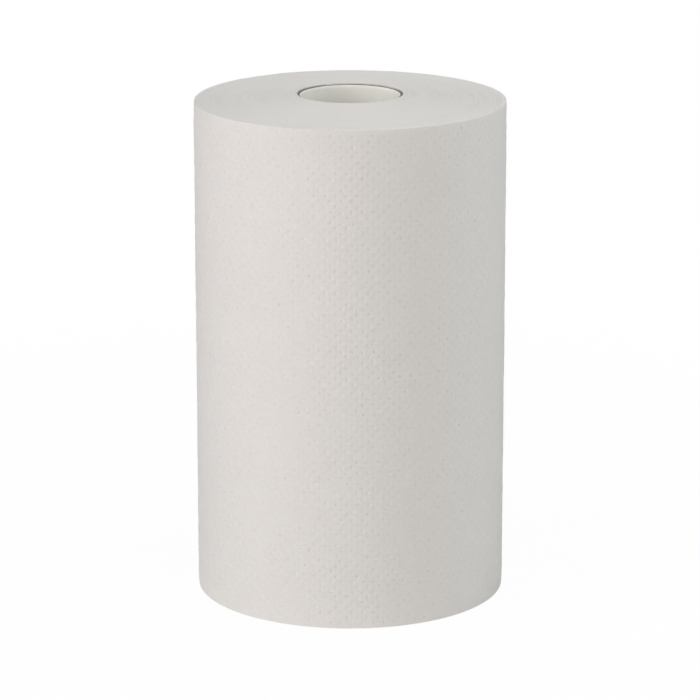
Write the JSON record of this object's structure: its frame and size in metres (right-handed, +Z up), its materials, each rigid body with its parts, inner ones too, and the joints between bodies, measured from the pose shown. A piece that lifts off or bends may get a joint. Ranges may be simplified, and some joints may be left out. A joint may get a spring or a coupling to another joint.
{
  "type": "paper towel roll",
  "caption": "Roll of white embossed paper towel wound on a card tube, standing on its end, with an open bore for a holder's post.",
  "frame": {"origin": "on the roll's axis, in the plane that its outer turns stand on", "axes": "+Z up along the roll's axis, out of the end on which the inner turns stand a little proud; -Y faces the viewer of the picture, and the sheet's free edge lies at the back"},
  "size_m": [0.1236, 0.124, 0.2025],
  "materials": {
    "towel_paper": "matt white embossed tissue",
    "core_card": "matt grey-white card with a grey-brown cut edge"
  },
  "bodies": {
    "root": {"paper_roll": "towel_paper", "core_tube": "core_card"}
  },
  "joints": []
}
